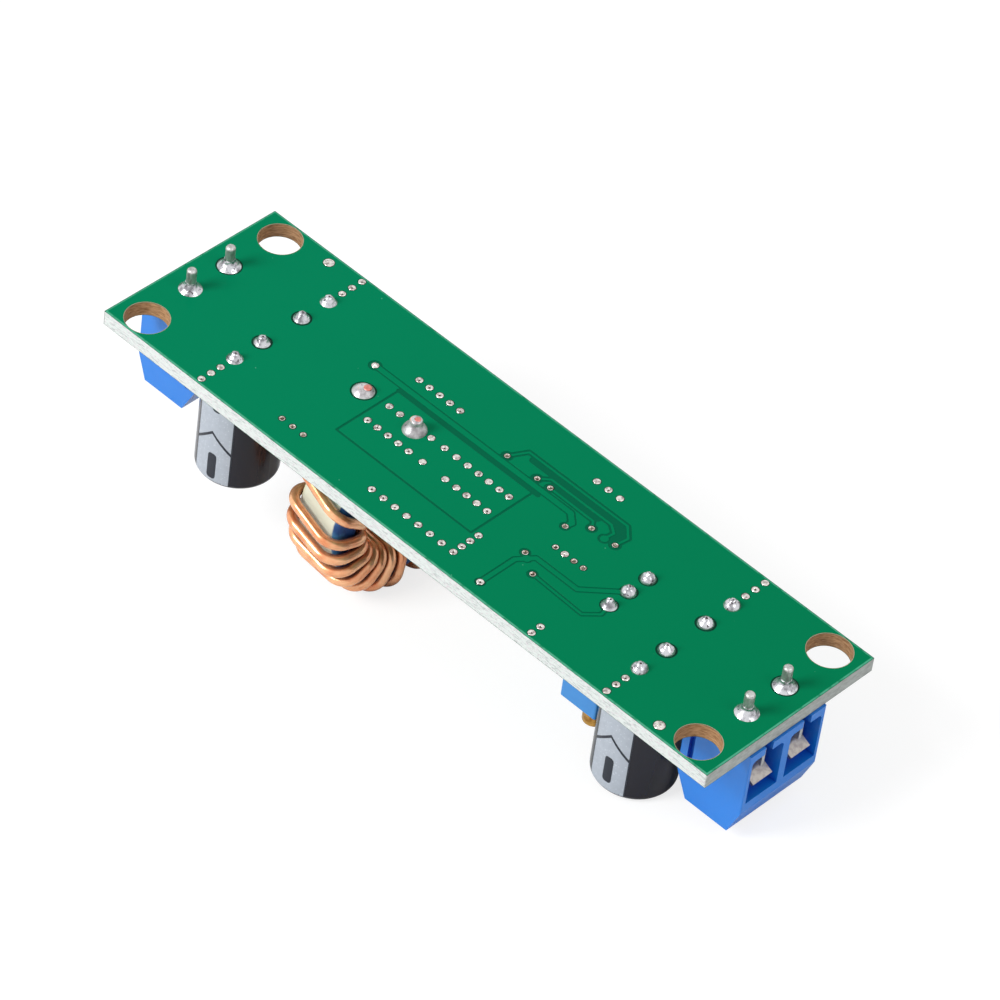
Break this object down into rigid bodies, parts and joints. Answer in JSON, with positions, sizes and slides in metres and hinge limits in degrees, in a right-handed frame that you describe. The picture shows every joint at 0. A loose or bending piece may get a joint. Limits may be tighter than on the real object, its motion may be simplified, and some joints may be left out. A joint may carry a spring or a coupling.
{
  "type": "buck converter module",
  "caption": "Step-down power module: a long board with an upright ring inductor, upright capacitors, a trimmer and a screw terminal block at each end.",
  "frame": {"origin": "centre of the solder face, which is the centre of the four fixing holes", "axes": "+Z out of the solder face, +X along the board towards the input end with the trimmer, +Y towards the far long edge"},
  "size_m": [0.0773, 0.022, 0.0222],
  "materials": {
    "board": "green solder mask on glass-epoxy laminate",
    "solder": "bright solder",
    "terminal_blue": "moulded blue plastic",
    "tinned_metal": "tin plate",
    "plated_steel": "bright zinc plate",
    "aluminium_can": "satin",
    "sleeve_black": "shrunk plastic sleeve with a grey polarity stripe",
    "rubber_bung": "moulded rubber",
    "core_paint": "powder core painted pale green and blue",
    "enamelled_copper": "clear enamel on copper",
    "trimmer_blue": "moulded blue plastic",
    "brass": "bright",
    "package_black": "moulded epoxy",
    "chip_dark": "glazed ceramic",
    "ceramic_tan": "ceramic"
  },
  "bodies": {
    "module": {"circuit_board": "board", "vias": "solder", "terminal_solder": "solder", "capacitor_solder": "solder", "inductor_solder": "solder", "trimmer_solder": "solder", "input_terminal_housing": "terminal_blue", "input_contact_1": "tinned_metal", "input_clamp_leaf_1": "tinned_metal", "input_contact_2": "tinned_metal", "input_clamp_leaf_2": "tinned_metal", "output_terminal_housing": "terminal_blue", "output_contact_1": "tinned_metal", "output_clamp_leaf_1": "tinned_metal", "output_contact_2": "tinned_metal", "output_clamp_leaf_2": "tinned_metal", "output_capacitor_1_can": "aluminium_can", "output_capacitor_1_sleeve": "sleeve_black", "output_capacitor_1_bung": "rubber_bung", "output_capacitor_1_leads": "tinned_metal", "output_capacitor_2_can": "aluminium_can", "output_capacitor_2_sleeve": "sleeve_black", "output_capacitor_2_bung": "rubber_bung", "output_capacitor_2_leads": "tinned_metal", "input_capacitor_1_can": "aluminium_can", "input_capacitor_1_sleeve": "sleeve_black", "input_capacitor_1_bung": "rubber_bung", "input_capacitor_1_leads": "tinned_metal", "input_capacitor_2_can": "aluminium_can", "input_capacitor_2_sleeve": "sleeve_black", "input_capacitor_2_bung": "rubber_bung", "input_capacitor_2_leads": "tinned_metal", "inductor_core": "core_paint", "inductor_winding": "enamelled_copper", "trimmer_case": "trimmer_blue", "trimmer_pins": "tinned_metal", "regulator_package": "package_black", "regulator_leads": "tinned_metal", "diode_package": "package_black", "diode_leads": "tinned_metal", "chip_resistors": "chip_dark", "ceramic_capacitors": "ceramic_tan"},
    "input_clamp_screw_1": {"input_clamp_screw_1": "plated_steel"},
    "input_clamp_screw_2": {"input_clamp_screw_2": "plated_steel"},
    "output_clamp_screw_1": {"output_clamp_screw_1": "plated_steel"},
    "output_clamp_screw_2": {"output_clamp_screw_2": "plated_steel"},
    "trimmer_screw": {"trimmer_screw": "brass"}
  },
  "joints": [
    {"name": "input_clamp_screw_1_turn", "type": "hinge", "parent": "module", "child": "input_clamp_screw_1", "pos_m": [0.0349, -0.00275, -0.0119], "axis": [0, 0, -1], "range_deg": [0, 1440]},
    {"name": "input_clamp_screw_2_turn", "type": "hinge", "parent": "module", "child": "input_clamp_screw_2", "pos_m": [0.0349, 0.00225, -0.0119], "axis": [0, 0, -1], "range_deg": [0, 1440]},
    {"name": "output_clamp_screw_1_turn", "type": "hinge", "parent": "module", "child": "output_clamp_screw_1", "pos_m": [-0.03539, 0.00225, -0.0119], "axis": [0, 0, -1], "range_deg": [0, 1440]},
    {"name": "output_clamp_screw_2_turn", "type": "hinge", "parent": "module", "child": "output_clamp_screw_2", "pos_m": [-0.03539, -0.00275, -0.0119], "axis": [0, 0, -1], "range_deg": [0, 1440]},
    {"name": "trimmer_screw_turn", "type": "hinge", "parent": "module", "child": "trimmer_screw", "pos_m": [0.01952, -0.0035, -0.0116], "axis": [0, 0, -1], "continuous": true}
  ]
}
